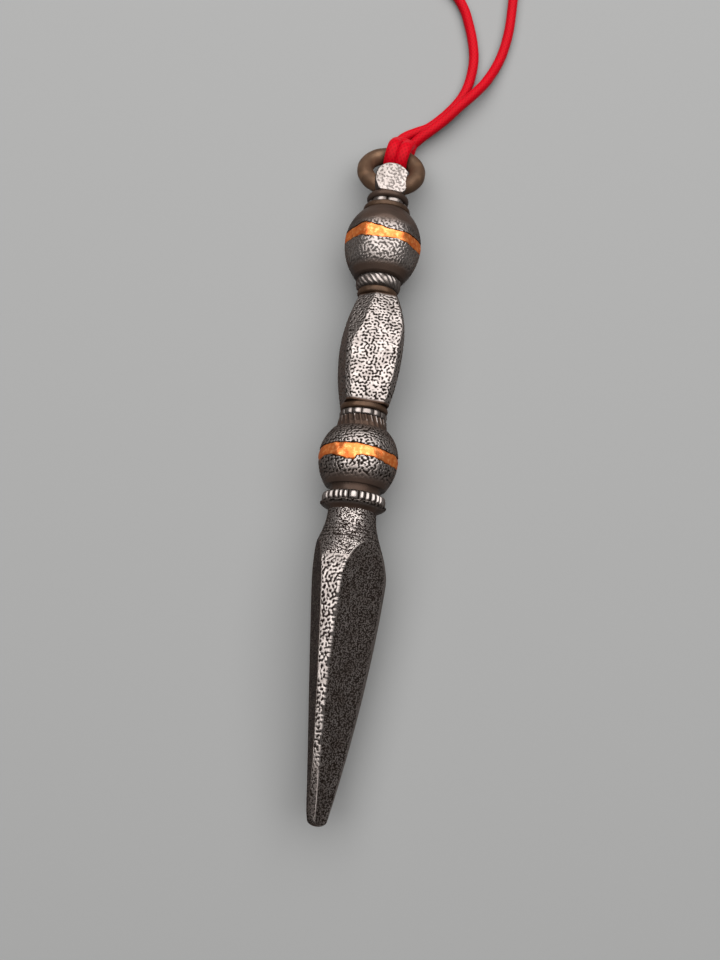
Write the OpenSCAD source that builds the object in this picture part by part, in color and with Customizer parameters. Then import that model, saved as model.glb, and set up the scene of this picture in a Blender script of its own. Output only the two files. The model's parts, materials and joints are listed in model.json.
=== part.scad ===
// Pendant ritual dagger: a three-faced iron blade whose tang carries a stack of turned collars, two knobs
// inlaid with copper, a faceted grip and a pierced pommel with a loose ring on a red cord.
// The dagger lies on its back along Y, tip at -Y, with the floor at Z = 0.

/* [Blade] */
// Length from the tip to the seat of the first collar
blade_len = 40.3; // [36:0.1:46]
// Radius of the blunted tip
tip_r = 1.3; // [0.8:0.05:1.6]
// Length of the rounding at the tip
tip_h = 0.8; // [0.5:0.05:1.5]
// Distance from the tip to the widest place
shoulder_z = 31; // [27:0.1:33]
// Ridge radius at the widest place
shoulder_r = 5.5; // [4.6:0.05:5.8]
// Swell of the ridges over a straight taper
belly = 0.6; // [0.2:0.05:0.9]
// Radius of the round neck under the first collar
blade_neck_r = 3.25; // [3:0.05:3.6]
// Distance of each flat from the axis at the tip
flat_tip_d = 1; // [0.9:0.05:1.3]
// Growth of that distance for each millimetre along the blade
flat_slope = 0.09; // [0.075:0.005:0.1]
// Turn of the top ridge from straight up, positive to the right
blade_roll = -20; // [-30:1:30]
// Radius of the tang that carries the stack
tang_r = 1.4; // [1:0.05:1.6]

/* [Beaded collar] */
// Height of the sloping underside
collar_cone_h = 1; // [0.6:0.05:1.6]
// Radius of the rim between the underside and the beads
collar_rim_r = 4.5; // [4.2:0.05:4.8]
// Height of the row of beads
collar_bead_h = 1.3; // [0.8:0.05:2]
// Height of the groove above the beads
collar_groove_h = 1; // [0.6:0.05:1.6]
// Outer radius of the bead row
collar_r = 4.3; // [4:0.05:4.8]
// Radius of the groove
collar_groove_r = 3.5; // [3.2:0.05:3.8]
// Number of notches that part the beads
collar_notches = 28; // [20:1:34]
// Radius of one notch
collar_notch_r = 0.2; // [0.1:0.02:0.3]

/* [Lower knob] */
// Greatest radius
lower_r = 5.4; // [5:0.05:5.8]
// Radius at the bottom
lower_foot_r = 4.05; // [3.6:0.05:4.4]
// Radius at the top
lower_head_r = 3.8; // [3.4:0.05:4.2]
// Height from the bottom to the widest place
lower_foot_h = 4.1; // [3.4:0.1:5]
// Height from the widest place to the top
lower_head_h = 3.9; // [3.4:0.1:5]
// Width of the copper band
lower_band_w = 1.8; // [1:0.05:2.4]

/* [Skirt and rings] */
// Height of the fluted skirt
skirt_h = 1.6; // [1:0.05:2.2]
// Radius of the skirt at its hem
skirt_r = 3.5; // [3.2:0.05:3.8]
// Radius of the skirt at its top
skirt_top_r = 3.25; // [2.9:0.05:3.4]
// Number of flutes
flutes = 26; // [16:1:28]
// Radius of one flute
flute_r = 0.22; // [0.1:0.02:0.3]
// Slant of the flutes, degrees
flute_slant = 18; // [0:1:30]
// Height of the beaded ring
bead_ring_h = 1; // [0.7:0.05:1.4]
// Radius of the beaded ring
bead_ring_r = 3.25; // [2.9:0.05:3.5]
// Number of notches in the beaded ring
bead_ring_notches = 14; // [10:1:24]
// Height of the plain ring
plain_ring_h = 0.9; // [0.6:0.05:1.4]
// Radius of the plain ring
plain_ring_r = 3.3; // [2.9:0.05:3.5]

/* [Grip] */
// Height from the bottom to the widest place
grip_foot_h = 8.2; // [7:0.1:9]
// Height from the widest place to the top
grip_head_h = 7.8; // [7:0.1:9]
// Half the width across the flats at the widest place
grip_half = 3.93; // [3.7:0.01:4.2]
// Half the width across the flats at the bottom
grip_foot_half = 3; // [2.8:0.05:3.3]
// Half the width across the flats at the top
grip_head_half = 2.5; // [2.4:0.05:2.8]
// Width cut from each side of a corner by its chamfer
grip_chamfer = 0.9; // [0.6:0.05:1.4]
// Turn of the front flat from straight up, positive to the right
grip_roll = 10; // [-30:1:30]
// Height of the dark ring above the grip
grip_ring_h = 1; // [0.7:0.05:1.4]
// Radius of the dark ring
grip_ring_r = 2.8; // [2.4:0.05:3.1]

/* [Upper knob] */
// Height of the hammered collar below the knob
hammered_h = 1.9; // [1.4:0.05:2.4]
// Radius of the hammered collar
hammered_r = 3.2; // [2.9:0.05:3.5]
// Greatest radius of the knob
upper_r = 5.4; // [5.1:0.05:5.8]
// Distance of its flats from the axis
upper_flat = 4.95; // [4.8:0.05:5.1]
// Number of flats
upper_flats = 6; // [5:1:8]
// Turn of its front flat from straight up, positive to the right
upper_roll = 2; // [-30:1:30]
// Radius at the bottom
upper_foot_r = 3.5; // [3.2:0.05:4]
// Radius at the top
upper_head_r = 3.3; // [3:0.05:3.6]
// Height from the bottom to the widest place
upper_foot_h = 5.2; // [4.5:0.1:6]
// Height from the widest place to the top
upper_head_h = 4.7; // [4.2:0.1:5.4]
// Width of the copper band
upper_band_w = 1.5; // [1:0.05:2.2]

/* [Pommel] */
// Height of the shoulder cap
shoulder_h = 0.9; // [0.6:0.05:1.3]
// Radius of the shoulder cap at its foot
shoulder_cap_r = 3.35; // [3:0.05:3.6]
// Height of the bright neck collar
neck_h = 0.8; // [0.6:0.05:1.2]
// Radius of the neck collar
neck_r = 2.85; // [2.5:0.05:3]
// Height of the flange under the pierced drum
flange_h = 1; // [0.9:0.05:1.4]
// Radius of the flange
flange_r = 3; // [2.7:0.05:3.2]
// Distance from the flange to the centre of the drum
drum_rise = 1.9; // [1.9:0.05:2.3]
// Radius of the stem under the drum
stem_r = 2.3; // [2.1:0.05:2.4]
// Radius of the drum's round faces
drum_r = 2.35; // [2.2:0.01:2.4]
// Half the length of the drum, front to back
drum_half = 2.5; // [2.2:0.05:2.8]
// Turn of the drum's face from straight up, positive to the right
drum_roll = 8; // [-10:1:10]
// Depth of the blind socket that takes the tang
socket_depth = 0.6; // [0.4:0.05:0.8]

/* [Suspension ring] */
// Mean radius of the ring
ring_r = 3.8; // [3.75:0.01:4.2]
// Radius of its round bar
bar_r = 1.2; // [1:0.02:1.22]
// How far the bar sits past the centre of the drum's hole
bar_sink = 0.35; // [0.3:0.01:0.38]
// Lean of the ring towards the floor
ring_lean = 25; // [20:1:25]

/* [Cord] */
// Diameter of the cord
cord_d = 1.5; // [1.3:0.05:1.55]
// How much thinner the cord is pressed under the ring
cord_pinch = 0.27; // [0.26:0.01:0.3]
// Turn of the hitch along the ring, positive to the right
hitch_turn = 14; // [0:1:20]
// Half the spacing of the hitch's two legs
hitch_half = 0.98; // [0.9:0.01:1.05]
// Half the spacing of the legs inside the ring
hitch_inner = 0.8; // [0.8:0.01:0.85]
// Spacing of the coil's turns and layers
coil_pitch = 1.95; // [1.95:0.05:2.2]
// Number of turns, ending half a turn from the start
coil_turns = 9.5; // [5.5:1:9.5]
// Outer radius of the coil's path
coil_r = 13; // [13:0.1:14]
// Thickness of the band that ties the coil
tie_t = 0.4; // [0.3:0.05:0.6]
// Width of that band
tie_w = 2.4; // [1.5:0.1:4]

/* [Fits] */
// Radial room round the tang
tang_clear = 0.05; // [0.02:0.01:0.1]
// Room round the copper in its groove
inlay_clear = 0.02; // [0.01:0.005:0.05]
// Depth of the grooves for the copper
inlay_depth = 0.5; // [0.3:0.05:0.8]
// Room round the ring in the drum's hole
ring_clear = 0.06; // [0.05:0.01:0.1]
// Room between the cord and what it passes
cord_clear = 0.06; // [0.05:0.01:0.2]

/* [Hidden] */
$fn = 96;

// Heights up the stack, measured from the tip
collar_z = blade_len;
collar_h = collar_cone_h + collar_bead_h + collar_groove_h;
lower_z = collar_z + collar_h;
skirt_z = lower_z + lower_foot_h + lower_head_h;
bead_ring_z = skirt_z + skirt_h;
plain_ring_z = bead_ring_z + bead_ring_h;
grip_z = plain_ring_z + plain_ring_h;
grip_h = grip_foot_h + grip_head_h;
grip_ring_z = grip_z + grip_h;
hammered_z = grip_ring_z + grip_ring_h;
upper_z = hammered_z + hammered_h;
shoulder_cap_z = upper_z + upper_foot_h + upper_head_h;
neck_z = shoulder_cap_z + shoulder_h;
flange_z = neck_z + neck_h;
hole_z = flange_z + flange_h + drum_rise;

// Bores and hole
bore_r = tang_r + tang_clear;
tang_top = flange_z + socket_depth - tang_clear;
hole_r = bar_r + bar_sink + ring_clear;
ring_centre = ring_r - bar_sink;
lower_groove_r = lower_r - inlay_depth;
upper_groove_r = upper_flat - inlay_depth;

// Place of the whole: centred along Y, resting on the lower knob
ring_reach = (ring_centre + ring_r) * cos(ring_lean) + bar_r;
overall = hole_z + ring_reach;
axis_h = lower_r;
hinge = [0, hole_z - overall / 2, axis_h];

// Small common sizes
over = 0.01;
reach = overall;
ring_steps = 24;
coil_sides = 6;
cord_sides = 8;
cord_r = cord_d / 2;

// Points of the two strands from the hitch to the coil; the right one lies on top of the left one at first
left_route = [[1.0, 50.7, 0.85], [1.9, 51.5, 0.76], [3.3, 52.3, 0.75], [4.9, 53.2, 0.75], [6.95, 55.3, 0.75],
  [8.75, 57.75, 0.75], [9.8, 59.95, 0.75], [10.4, 62.5, 0.75], [10.6, 65.6, 0.75], [10.2, 68.5, 0.75],
  [9.45, 71.3, 0.75], [8.3, 74.4, 0.75], [6.4, 77.1, 0.75], [3.2, 79.2, 0.75], [-2.0, 80.7, 0.75],
  [-7.3, 83.3, 0.75], [-10.1, 88.0, 0.75], [-10.5, 93.4, 0.75]];
right_route = [[3.1, 50.2, 1.35], [4.0, 51.0, 1.75], [5.2, 52.05, 2.05], [7.2, 54.15, 2.1], [9.1, 56.55, 2.1],
  [10.9, 58.75, 2.0], [12.55, 61.25, 1.55], [14.0, 64.45, 0.95], [14.95, 67.5, 0.75], [15.55, 71.1, 0.75],
  [15.75, 75.0, 0.75], [15.8, 80.6, 0.75], [15.7, 84.2, 0.85], [15.6, 87.4, 1.5], [15.5, 90.0, 2.4],
  [15.5, 92.0, 2.7], [15.5, 93.4, 2.7]];
coil_centre = [2.5, 95];

// Radius of the arc that falls by sag over a run of h
function arc_r(h, sag) = (h * h + sag * sag) / (2 * sag);

// Ridge outline of the blade as radius and height: rounded tip, swelling taper, easing into the neck
tip_line = [for (a = [0 : 15 : 75]) [tip_r * sin(a), tip_h * (1 - cos(a))]];
taper_line = [for (s = [0 : 0.1 : 0.95])
  [tip_r + s * (shoulder_r - tip_r) + 4 * belly * s * (1 - s), tip_h + s * (shoulder_z - tip_h)]];
neck_line = [for (s = [0 : 0.1 : 1.01])
  [blade_neck_r + (shoulder_r - blade_neck_r) * (1 + cos(180 * s)) / 2,
    shoulder_z + s * (blade_len - shoulder_z)]];
blade_outline = concat(tip_line, taper_line, neck_line, [[0, blade_len]]);

// Sweeping of a round cord along points
function unit(v) = v / norm(v);
function headings(p) = [for (i = [0 : len(p) - 1]) unit(p[min(i + 1, len(p) - 1)] - p[max(i - 1, 0)])];
function sides_of(t, i = 0, last = [0, 0, 1], out = []) =
  i == len(t) ? out
  : let (n = unit(last - (last * t[i]) * t[i])) sides_of(t, i + 1, n, concat(out, [n]));
function bend(a, b, c, d, s) =
  b + 0.5 * ((c - a) * s + (2 * a - 5 * b + 4 * c - d) * s * s + (3 * b - a - 3 * c + d) * s * s * s);
function smooth(p, n) = concat([for (i = [0 : len(p) - 2]) for (k = [0 : n - 1])
  bend(p[max(i - 1, 0)], p[i], p[i + 1], p[min(i + 2, len(p) - 1)], k / n)], [p[len(p) - 1]]);

// Path of the coil: winds in on the floor, climbs a layer in the half turn where it reverses, winds out on top,
// and lifts over the band that ties it at its far side
coil_sweep = 360 * coil_turns;
coil_climb = 180;
tie_angle = 90;
tie_reach = 60;
tie_ease = 40;
function tie_lift(a) = tie_t * min(max((tie_reach - abs(a % 360 - tie_angle)) / tie_ease, 0), 1);
function coil_rise(a) = min(max((a - coil_sweep / 2) / coil_climb + 0.5, 0), 1);
function coil_point(a) =
  let (r = coil_r - coil_pitch * min(a, coil_sweep - a) / 360)
  [coil_centre[0] - r * cos(a), coil_centre[1] + r * sin(a), cord_r + tie_lift(a) + coil_pitch * coil_rise(a)];
coil_lead = [0, -cord_d, 0];
coil_turns_path = [for (i = [0 : coil_turns * ring_steps]) coil_point(i * 360 / ring_steps)];
coil_path = concat([coil_turns_path[0] + coil_lead], coil_turns_path,
  [coil_turns_path[len(coil_turns_path) - 1] + coil_lead]);
half_turn = ring_steps / 2;
last_turn = len(coil_turns_path) - 1;
function least_gap(i) =
  min([for (j = [i + half_turn : last_turn]) norm(coil_turns_path[i] - coil_turns_path[j])]);
coil_gap = min([for (i = [0 : last_turn - half_turn]) least_gap(i)]) - cord_d;
echo(coil_gap = coil_gap);

// Path of the hitch in the ring's own plane: along the ring's radius, across it and out of its face
wrap_angles = [-40 : -20 : -300];
function pinched(a) = cord_r - cord_pinch * max(sin(ring_lean - a), 0);
leg_end = 7.3;
leg_rise = 0.1;
leg_out = [[-hitch_half, leg_end, leg_rise], [-hitch_half, leg_end - 0.7, leg_rise - 0.15],
  [-hitch_half, leg_end - 1.5, leg_rise - 0.75]];
function wrapped(a) =
  let (
    across = hitch_half - (hitch_half - hitch_inner) * (1 - cos(a)) / 2,
    wrap_r = bar_r + pinched(a) + cord_clear,
    out = ring_r + wrap_r * cos(a)
  )
  [-across, sqrt(out * out - across * across), wrap_r * sin(a)];
leg_wrap = [for (a = wrap_angles) wrapped(a)];
cross_out = ring_r + bar_r + cord_r + cord_clear;
cross_up = 1.25;
cross_bar = [[-hitch_half * 0.92, cross_out - 0.45, cross_up + 0.25],
  [-hitch_half * 0.55, cross_out, cross_up]];
half_hitch = concat(leg_out, leg_wrap, cross_bar);
hitch_flat = concat(half_hitch, [[0, cross_out + 0.1, cross_up]],
  [for (i = [len(half_hitch) - 1 : -1 : 0]) [-half_hitch[i][0], half_hitch[i][1], half_hitch[i][2]]]);
function on_ring(p) =
  let (
    x = p[0] * cos(hitch_turn) + p[1] * sin(hitch_turn),
    d = ring_centre - p[0] * sin(hitch_turn) + p[1] * cos(hitch_turn)
  )
  hinge + [x, d * cos(ring_lean) + p[2] * sin(ring_lean), p[2] * cos(ring_lean) - d * sin(ring_lean)];
hitch_path = [for (p = hitch_flat) on_ring(p)];
half_radii = concat([for (p = leg_out) cord_r], [for (a = wrap_angles) pinched(a)],
  [for (p = cross_bar) cord_r]);
hitch_radii = concat(half_radii, [cord_r], [for (i = [len(half_radii) - 1 : -1 : 0]) half_radii[i]]);

// Moves a piece of the stack from its upright axis to where the dagger lies
module lay_down() {
  translate([0, -overall / 2, axis_h]) rotate([-90, 0, 0]) children();
}

// One side of a swelling profile, from its widest place at the bottom to its end
module swell(end_r, max_r, h) {
  arc = arc_r(h, max_r - end_r);
  intersection() {
    square([max_r, h]);
    translate([max_r - arc, 0]) circle(r = arc);
  }
}

// Both sides of a swelling profile, standing on Z = 0
module barrel_profile(foot_r, max_r, head_r, foot_h, head_h) {
  translate([0, foot_h]) {
    swell(head_r, max_r, head_h);
    mirror([0, 1]) swell(foot_r, max_r, foot_h);
  }
}

// Half widths and heights of a swelling side, from its foot to its head
function swell_line(foot, widest, head) = [for (s = [-1 : 0.125 : 1])
  let (
    sag = s < 0 ? widest - foot : widest - head,
    h = s < 0 ? grip_foot_h : grip_head_h,
    arc = arc_r(h, sag)
  )
  [widest - arc + sqrt(arc * arc - s * s * h * h), grip_foot_h + s * h]];

// Slab with two swelling faces, for one pair of the grip's flats
module barrel_slab(foot, widest, head) {
  side = swell_line(foot, widest, head);
  other = [for (i = [len(side) - 1 : -1 : 0]) [-side[i][0], side[i][1]]];
  rotate([90, 0, 0]) linear_extrude(height = 4 * grip_half, center = true) polygon(concat(side, other));
}

// Ring with a round edge
module round_ring(r, h) {
  rotate_extrude() {
    square([r - h / 2, h]);
    translate([r - h / 2, h / 2]) circle(d = h);
  }
}

// Bore for the tang through a piece of height h
module tang_bore(h) {
  translate([0, 0, -over]) cylinder(r = bore_r, h = h + 2 * over);
}

// Section of the bore for the tang through a turned piece of height h
module bore_section(h) {
  translate([0, -over]) square([bore_r, h + 2 * over]);
}

// Section of the belt that a copper band fills, centred on height z
module belt_section(r, w, z) {
  translate([r, z - w / 2]) square([reach, w]);
}

// Round cord along a path, with one radius for each of its points
module round_cord(path, radii, sides) {
  t = headings(path);
  n = sides_of(t);
  last = len(path) - 1;
  points = [for (i = [0 : last]) for (j = [0 : sides - 1])
    path[i] + radii[i] * (cos(360 * j / sides) * n[i] + sin(360 * j / sides) * cross(t[i], n[i]))];
  walls = [for (i = [0 : last - 1]) for (j = [0 : sides - 1])
    let (a = i * sides + j, b = i * sides + (j + 1) % sides)
    for (tri = [[a, a + sides, b + sides], [a, b + sides, b]]) tri];
  start = [for (j = [1 : sides - 2]) [0, j, j + 1]];
  end = [for (j = [1 : sides - 2]) [last * sides, last * sides + j + 1, last * sides + j]];
  polyhedron(points = points, faces = concat(walls, start, end));
}

module blade_flats() {
  for (k = [0 : 2])
    rotate([0, 0, blade_roll - 30 + 120 * k])
      translate([flat_tip_d, 0, 0])
        rotate([0, atan(flat_slope), 0])
          translate([0, -reach, -reach]) cube([reach, 2 * reach, 4 * reach]);
}

module blade() {
  color("dimgray") lay_down() {
    difference() {
      rotate_extrude() polygon(blade_outline);
      blade_flats();
    }
    translate([0, 0, blade_len - blade_neck_r]) cylinder(r = tang_r, h = tang_top - blade_len + blade_neck_r);
  }
}

module beaded_collar() {
  bead_top = collar_cone_h + collar_bead_h;
  color("silver") lay_down() translate([0, 0, collar_z]) difference() {
    union() {
      cylinder(r1 = blade_neck_r, r2 = collar_rim_r, h = collar_cone_h);
      translate([0, 0, collar_cone_h]) cylinder(r = collar_r, h = collar_bead_h);
      translate([0, 0, bead_top]) cylinder(r = collar_groove_r, h = collar_groove_h);
    }
    tang_bore(collar_h);
    for (i = [0 : collar_notches - 1])
      rotate([0, 0, 360 * i / collar_notches])
        translate([collar_r, 0, collar_cone_h]) cylinder(r = collar_notch_r, h = collar_bead_h + over);
  }
}

module lower_section() {
  barrel_profile(lower_foot_r, lower_r, lower_head_r, lower_foot_h, lower_head_h);
}

module lower_knob() {
  color("dimgray") lay_down() translate([0, 0, lower_z]) rotate_extrude() difference() {
    lower_section();
    bore_section(lower_foot_h + lower_head_h);
    belt_section(lower_groove_r, lower_band_w + 2 * inlay_clear, lower_foot_h);
  }
}

module lower_copper_band() {
  arc = arc_r(lower_foot_h, lower_r - lower_foot_r);
  color("chocolate") lay_down() translate([0, 0, lower_z]) rotate_extrude() intersection() {
    translate([lower_r - arc, lower_foot_h]) circle(r = arc);
    belt_section(lower_groove_r + inlay_clear, lower_band_w, lower_foot_h);
  }
}

module fluted_skirt() {
  lean = atan((skirt_r - skirt_top_r) / skirt_h);
  color("dimgray") lay_down() translate([0, 0, skirt_z]) difference() {
    cylinder(r1 = skirt_r, r2 = skirt_top_r, h = skirt_h);
    tang_bore(skirt_h);
    for (i = [0 : flutes - 1])
      rotate([0, 0, 360 * i / flutes])
        translate([(skirt_r + skirt_top_r) / 2, 0, skirt_h / 2])
          rotate([flute_slant, -lean, 0]) cylinder(r = flute_r, h = 4 * skirt_h, center = true);
  }
}

module bead_ring() {
  color("silver") lay_down() translate([0, 0, bead_ring_z]) difference() {
    round_ring(bead_ring_r, bead_ring_h);
    tang_bore(bead_ring_h);
    for (i = [0 : bead_ring_notches - 1])
      rotate([0, 0, 360 * i / bead_ring_notches])
        translate([bead_ring_r, 0, -over]) cylinder(r = collar_notch_r, h = bead_ring_h + 2 * over);
  }
}

module plain_ring() {
  color("saddlebrown") lay_down() translate([0, 0, plain_ring_z]) difference() {
    round_ring(plain_ring_r, plain_ring_h);
    tang_bore(plain_ring_h);
  }
}

module grip_barrel() {
  diagonal = sqrt(2);
  color("gray") lay_down() translate([0, 0, grip_z]) difference() {
    intersection() {
      for_flats(0) barrel_slab(grip_foot_half, grip_half, grip_head_half);
      for_flats(90) barrel_slab(grip_foot_half, grip_half, grip_head_half);
      for_flats(45) barrel_slab((2 * grip_foot_half - grip_chamfer) / diagonal,
        (2 * grip_half - grip_chamfer) / diagonal, (2 * grip_head_half - grip_chamfer) / diagonal);
      for_flats(135) barrel_slab((2 * grip_foot_half - grip_chamfer) / diagonal,
        (2 * grip_half - grip_chamfer) / diagonal, (2 * grip_head_half - grip_chamfer) / diagonal);
    }
    tang_bore(grip_h);
  }
}

// Turns a pair of the grip's flats to its place
module for_flats(turn) {
  rotate([0, 0, grip_roll + turn]) children();
}

module grip_ring() {
  color("saddlebrown") lay_down() translate([0, 0, grip_ring_z]) difference() {
    round_ring(grip_ring_r, grip_ring_h);
    tang_bore(grip_ring_h);
  }
}

module hammered_collar() {
  color("silver") lay_down() translate([0, 0, hammered_z]) difference() {
    round_ring(hammered_r, hammered_h);
    tang_bore(hammered_h);
  }
}

module upper_section() {
  barrel_profile(upper_foot_r, upper_r, upper_head_r, upper_foot_h, upper_head_h);
}

// Prism whose sides are the flats of the upper knob
module upper_prism() {
  rotate([0, 0, upper_roll - 90 + 180 / upper_flats])
    cylinder(r = upper_flat / cos(180 / upper_flats), h = upper_foot_h + upper_head_h, $fn = upper_flats);
}

module upper_knob() {
  color("dimgray") lay_down() translate([0, 0, upper_z]) intersection() {
    rotate_extrude() difference() {
      upper_section();
      bore_section(upper_foot_h + upper_head_h);
      belt_section(upper_groove_r, upper_band_w + 2 * inlay_clear, upper_foot_h);
    }
    upper_prism();
  }
}

module upper_copper_band() {
  color("chocolate") lay_down() translate([0, 0, upper_z]) intersection() {
    rotate_extrude() intersection() {
      upper_section();
      belt_section(upper_groove_r + inlay_clear, upper_band_w, upper_foot_h);
    }
    upper_prism();
  }
}

module shoulder_cap() {
  color("saddlebrown") lay_down() translate([0, 0, shoulder_cap_z]) difference() {
    round_ring(shoulder_cap_r, shoulder_h);
    tang_bore(shoulder_h);
  }
}

module neck_collar() {
  color("silver") lay_down() translate([0, 0, neck_z]) difference() {
    round_ring(neck_r, neck_h);
    tang_bore(neck_h);
  }
}

// Room that the ring sweeps through the drum as it turns
module ring_sweep() {
  rotate([0, 90, 0]) {
    cylinder(r = hole_r, h = 4 * drum_r, center = true);
    rotate_extrude() difference() {
      translate([0, -2 * drum_r]) square([ring_centre, 4 * drum_r]);
      translate([ring_centre, 0]) circle(r = ring_r - bar_r - ring_clear);
    }
  }
}

module pommel_lug() {
  color("lightgray") lay_down() difference() {
    union() {
      translate([0, 0, flange_z]) round_ring(flange_r, flange_h);
      difference() {
        union() {
          translate([0, 0, flange_z]) cylinder(r = stem_r, h = flange_h + drum_rise);
          translate([0, 0, hole_z]) rotate([0, 0, drum_roll]) rotate([90, 0, 0])
            cylinder(r = drum_r, h = 2 * drum_half, center = true);
        }
        translate([0, 0, hole_z]) ring_sweep();
      }
    }
    translate([0, 0, flange_z]) tang_bore(socket_depth);
  }
}

module suspension_ring() {
  color("saddlebrown") translate(hinge) rotate([-90 - ring_lean, 0, 0])
    translate([0, 0, ring_centre]) rotate([90, 0, 0])
      rotate_extrude() translate([ring_r, 0]) circle(r = bar_r);
}

// Round cord of one radius
module even_cord(path, sides) {
  round_cord(path, [for (p = path) cord_r], sides);
}

module cord_hitch() {
  color("crimson") round_cord(hitch_path, hitch_radii, cord_sides);
}

module cord_left_strand() {
  color("crimson") even_cord(smooth(left_route, 2), cord_sides);
}

module cord_right_strand() {
  color("crimson") even_cord(smooth(right_route, 2), cord_sides);
}

module cord_coil() {
  color("crimson") even_cord(coil_path, coil_sides);
}

// Flat band round all the turns at the far side of the coil
module coil_tie() {
  quarter = 0.25;
  slack = coil_pitch / 12;
  inner_turn = coil_r - coil_pitch * (floor(coil_turns / 2) + quarter) - cord_r;
  inner = sqrt(inner_turn * inner_turn - tie_w * tie_w / 4) - slack;
  outer = coil_r - coil_pitch * quarter + cord_r + slack;
  height = cord_d + coil_pitch + cord_clear;
  color("firebrick") translate([coil_centre[0], coil_centre[1], 0])
    rotate([90, 0, 90]) linear_extrude(height = tie_w, center = true) difference() {
      translate([inner - tie_t, 0]) square([outer - inner + 2 * tie_t, height + 2 * tie_t]);
      translate([inner, tie_t]) square([outer - inner, height]);
    }
}

blade();
beaded_collar();
lower_knob();
lower_copper_band();
fluted_skirt();
bead_ring();
plain_ring();
grip_barrel();
grip_ring();
hammered_collar();
upper_knob();
upper_copper_band();
shoulder_cap();
neck_collar();
pommel_lug();
suspension_ring();
cord_hitch();
cord_left_strand();
cord_right_strand();
cord_coil();
coil_tie();
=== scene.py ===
import json
import math
import bpy
import numpy as np
from mathutils import Matrix, Vector


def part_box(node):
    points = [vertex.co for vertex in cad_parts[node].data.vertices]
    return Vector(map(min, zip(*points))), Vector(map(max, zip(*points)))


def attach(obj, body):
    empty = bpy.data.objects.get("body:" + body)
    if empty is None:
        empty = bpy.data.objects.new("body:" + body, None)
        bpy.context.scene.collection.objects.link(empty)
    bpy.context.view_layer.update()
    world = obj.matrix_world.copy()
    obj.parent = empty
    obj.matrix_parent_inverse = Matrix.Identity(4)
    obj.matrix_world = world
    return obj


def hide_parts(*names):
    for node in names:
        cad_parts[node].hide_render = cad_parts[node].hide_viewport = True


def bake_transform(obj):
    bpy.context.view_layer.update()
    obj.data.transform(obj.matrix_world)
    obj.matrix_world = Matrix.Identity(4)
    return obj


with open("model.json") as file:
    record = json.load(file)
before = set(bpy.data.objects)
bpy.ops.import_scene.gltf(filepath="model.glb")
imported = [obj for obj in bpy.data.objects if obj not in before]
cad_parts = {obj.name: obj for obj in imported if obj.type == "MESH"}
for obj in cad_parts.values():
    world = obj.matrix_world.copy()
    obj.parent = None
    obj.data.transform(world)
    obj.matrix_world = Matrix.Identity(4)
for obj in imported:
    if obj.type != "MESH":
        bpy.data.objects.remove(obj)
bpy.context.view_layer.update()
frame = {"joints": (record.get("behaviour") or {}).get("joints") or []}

mm = 0.001
fullTurn = 2 * math.pi
hingePoint = np.array(frame["joints"][0]["pos_m"]) / mm  # where the ring swings in the pommel
axisHeight = hingePoint[2]  # the dagger's own axis above the floor
bore = 1.45  # radius of the hole for the tang
bodyOf = {"stack": "dagger", "loose": "ring"}


def span(node):  # start and end along the dagger and greatest half width of a CAD piece, in millimetres
    low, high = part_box(node)
    return low.y / mm, high.y / mm, (high.x - low.x) / 2 / mm


tipY = span("blade")[0]

# Camera: stands over the blade, tipped towards the pommel and rolled so that the dagger leans right
cameraPlace = dict(spot=(0.54, -37.78, 149.2), tip=13.5, roll=6.47, focalPixels=1100, imageHeight=960, sensor=36,
                   nearest=5)


def addCamera(place):
    tip, roll = math.radians(place["tip"]), math.radians(place["roll"])
    ahead = Vector((0, math.sin(tip), -math.cos(tip)))
    level = Vector((0, math.cos(tip), math.sin(tip)))
    right = math.cos(roll) * Vector((1, 0, 0)) + math.sin(roll) * level
    up = math.cos(roll) * level - math.sin(roll) * Vector((1, 0, 0))
    data = bpy.data.cameras.new("camera")
    data.sensor_fit = "VERTICAL"
    data.sensor_height = place["sensor"]
    data.lens = place["focalPixels"] / place["imageHeight"] * place["sensor"]
    data.clip_start = place["nearest"] * mm
    camera = bpy.data.objects.new("camera", data)
    turn = Matrix((right, up, -ahead)).transposed().to_4x4()
    camera.matrix_world = Matrix.Translation(Vector(place["spot"]) * mm) @ turn
    bpy.context.collection.objects.link(camera)
    bpy.context.scene.camera = camera


addCamera(cameraPlace)
print("camera placed")


# Surfaces: every piece is a grid of points, rows along a profile or path and columns round it
def smooth(value, start, end):  # 0 before start, 1 after end, eased between them
    s = np.clip((value - start) / (end - start), 0, 1)
    return s * s * (3 - 2 * s)


def between(value, rise, fall):  # 1 from the end of rise to the start of fall, eased over both
    return smooth(value, *rise) * (1 - smooth(value, *fall))


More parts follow.
